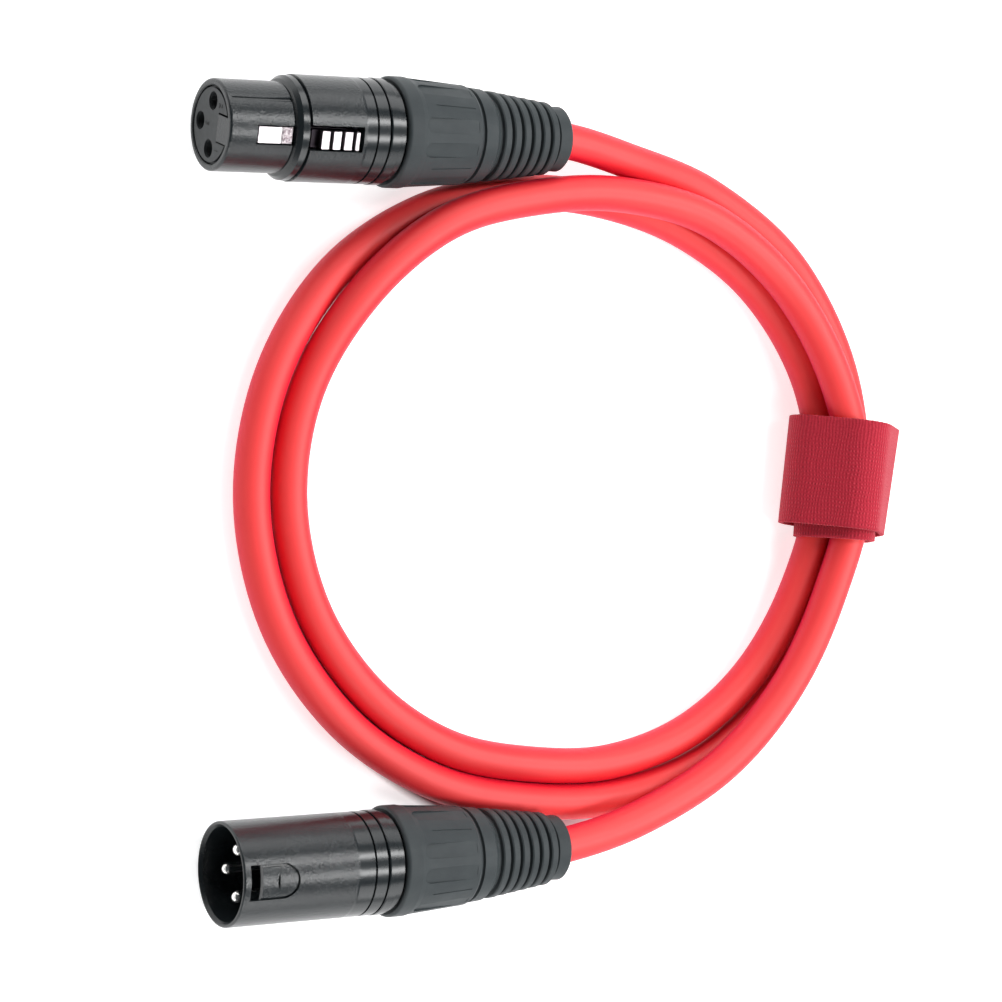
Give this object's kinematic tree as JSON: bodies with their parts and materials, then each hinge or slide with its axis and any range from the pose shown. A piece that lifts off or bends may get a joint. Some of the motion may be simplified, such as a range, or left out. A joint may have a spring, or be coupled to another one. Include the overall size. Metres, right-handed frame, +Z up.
{
  "type": "microphone cable with 3-pole connectors",
  "caption": "Coiled red microphone cable with a black female and a black male 3-pole connector and a red hook-and-loop tie.",
  "frame": {"origin": "the centre of the outline of the connectors and the tie, on the table", "axes": "+X away from the connectors' open ends, towards the tie; +Y from the male connector to the female one; +Z up"},
  "size_m": [0.1533, 0.1534, 0.0204],
  "materials": {
    "cable_red": "satin",
    "tie_crimson": "matte",
    "tie_dark": "matte",
    "shell_black": "satin",
    "insert_black": "satin",
    "boot_grey": "matte",
    "nickel": "polished",
    "spring_steel": "satin",
    "contact_silver": "polished",
    "brass": "satin",
    "bush_grey": "matte",
    "collet_white": "satin",
    "bare_copper": "satin",
    "wire_red": "satin",
    "wire_white": "satin"
  },
  "bodies": {
    "root": {"cable_jacket": "cable_red", "tie_loop_strip": "tie_crimson", "tie_hook_strip": "tie_dark", "female_shell": "shell_black", "female_insert": "insert_black", "female_contact_1": "contact_silver", "female_contact_2": "contact_silver", "female_contact_3": "contact_silver", "latch_pin": "spring_steel", "latch_spring": "spring_steel", "female_ground_spring": "brass", "female_wire_1": "bare_copper", "female_wire_2": "wire_red", "female_wire_3": "wire_white", "male_shell": "shell_black", "male_insert": "insert_black", "male_pin_1": "contact_silver", "male_pin_2": "contact_silver", "male_pin_3": "contact_silver", "male_ground_spring": "brass", "male_wire_1": "bare_copper", "male_wire_2": "wire_red", "male_wire_3": "wire_white"},
    "latch": {"latch_lever": "nickel"},
    "female_collet": {"female_chuck": "collet_white"},
    "female_boot_body": {"female_boot": "boot_grey", "female_thread_bush": "bush_grey"},
    "male_collet": {"male_chuck": "collet_white"},
    "male_boot_body": {"male_boot": "boot_grey", "male_thread_bush": "bush_grey"}
  },
  "joints": [
    {"name": "latch_press", "type": "hinge", "parent": "root", "child": "latch", "pos_m": [-0.0497, 0.06502, 0.01538], "axis": [0, -0.9593, -0.2823], "range_deg": [0, 3], "stiffness_Nm_per_rad": 0.5, "springref_deg": -5.73, "deforming": ["latch_spring"]},
    {"name": "female_collet_slide", "type": "slide", "parent": "root", "child": "female_collet", "axis": [1, 0, 0], "range_m": [0, 0.003]},
    {"name": "female_boot_turn", "type": "hinge", "parent": "female_collet", "child": "female_boot_body", "pos_m": [-0.0413, 0.06655, 0.0102], "axis": [1, 0, 0], "range_deg": [0, 1080]},
    {"name": "male_collet_slide", "type": "slide", "parent": "root", "child": "male_collet", "axis": [1, 0, 0], "range_m": [0, 0.003]},
    {"name": "male_boot_turn", "type": "hinge", "parent": "male_collet", "child": "male_boot_body", "pos_m": [-0.044, -0.06655, 0.0102], "axis": [1, 0, 0], "range_deg": [0, 1080]}
  ],
  "couplings": [
    {"joint": "female_boot_turn", "follows": "female_collet_slide", "rad_per_m": 6283.2},
    {"joint": "male_boot_turn", "follows": "male_collet_slide", "rad_per_m": 6283.2}
  ]
}
